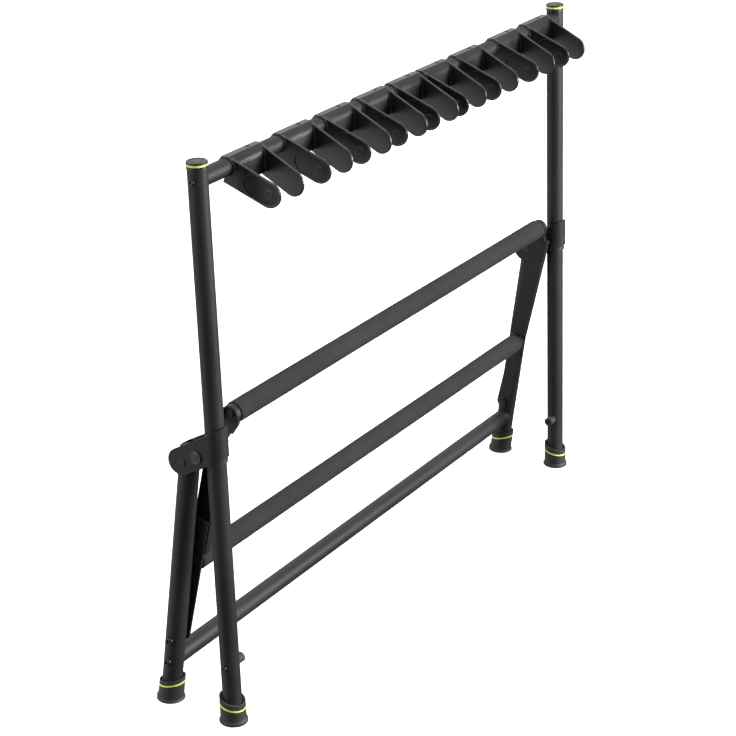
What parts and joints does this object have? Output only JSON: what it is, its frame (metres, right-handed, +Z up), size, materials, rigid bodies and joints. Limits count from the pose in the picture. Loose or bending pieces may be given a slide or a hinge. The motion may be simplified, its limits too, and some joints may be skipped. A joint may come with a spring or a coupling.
{
  "type": "folding guitar rack",
  "caption": "Folding floor rack for guitars: two posts with a bar of moulded neck yokes, a hinged rear leg frame and a swinging cradle of foam-covered bars.",
  "frame": {"origin": "on the floor, at the middle of the overall box seen from above", "axes": "+X along the rack from the left post to the right post, -Y towards the side the guitars stand on, +Z up"},
  "size_m": [1.042, 0.1733, 0.8416],
  "materials": {
    "tube_paint": "fine textured powder coat, satin",
    "sheet_paint": "smooth powder coat, satin",
    "yoke_plastic": "moulded, fine grain, half matt",
    "cap_plastic": "moulded, half matt",
    "bright_ring": "moulded lime green",
    "foot_rubber": "matt moulded rubber",
    "foam": "closed-cell foam sleeve, dull",
    "black_screw": "black zinc",
    "nylon": "black nylon"
  },
  "bodies": {
    "front_frame": {"post_left": "tube_paint", "post_right": "tube_paint", "post_cap_left": "cap_plastic", "post_cap_right": "cap_plastic", "cap_rings": "bright_ring", "top_bar": "tube_paint", "top_bar_plugs": "nylon", "top_bar_screws": "black_screw", "yoke_1": "yoke_plastic", "yoke_2": "yoke_plastic", "yoke_3": "yoke_plastic", "yoke_4": "yoke_plastic", "yoke_5": "yoke_plastic", "yoke_6": "yoke_plastic", "yoke_7": "yoke_plastic", "yoke_8": "yoke_plastic", "yoke_9": "yoke_plastic", "yoke_screws": "black_screw", "bracket_left": "sheet_paint", "bracket_right": "sheet_paint", "bracket_liners": "nylon", "clamp_spacers": "nylon", "clamp_rivets": "black_screw", "clamp_covers": "cap_plastic", "leg_pivot_rivets": "black_screw", "rest_pegs": "foot_rubber", "rest_peg_screws": "black_screw", "post_foot_left": "foot_rubber", "post_foot_right": "foot_rubber", "post_foot_rings": "bright_ring"},
    "rear_legs": {"leg_left": "tube_paint", "leg_right": "tube_paint", "leg_pivot_plugs": "nylon", "low_bar": "tube_paint", "low_bar_plugs": "nylon", "low_bar_bolts": "black_screw", "leg_foot_left": "foot_rubber", "leg_foot_right": "foot_rubber", "leg_foot_rings": "bright_ring", "cradle_pivot_bolts": "black_screw", "cradle_pivot_washers": "black_screw"},
    "cradle": {"arm_left": "sheet_paint", "arm_right": "sheet_paint", "mid_bar": "tube_paint", "mid_bar_foam": "foam", "mid_bar_plugs": "nylon", "mid_bar_screws": "black_screw", "upper_bar": "tube_paint", "upper_bar_foam": "foam", "upper_bar_plugs": "nylon", "upper_bar_screws": "black_screw", "cradle_pivot_nuts": "black_screw"}
  },
  "joints": [
    {"name": "leg_fold", "type": "hinge", "parent": "front_frame", "child": "rear_legs", "pos_m": [0, 0.01974, 0.40402], "axis": [1, 0, 0], "range_deg": [-9.47, 0]},
    {"name": "cradle_swing", "type": "hinge", "parent": "rear_legs", "child": "cradle", "pos_m": [0, 0.05361, 0.10562], "axis": [1, 0, 0], "range_deg": [-4.7, 75.35]}
  ]
}
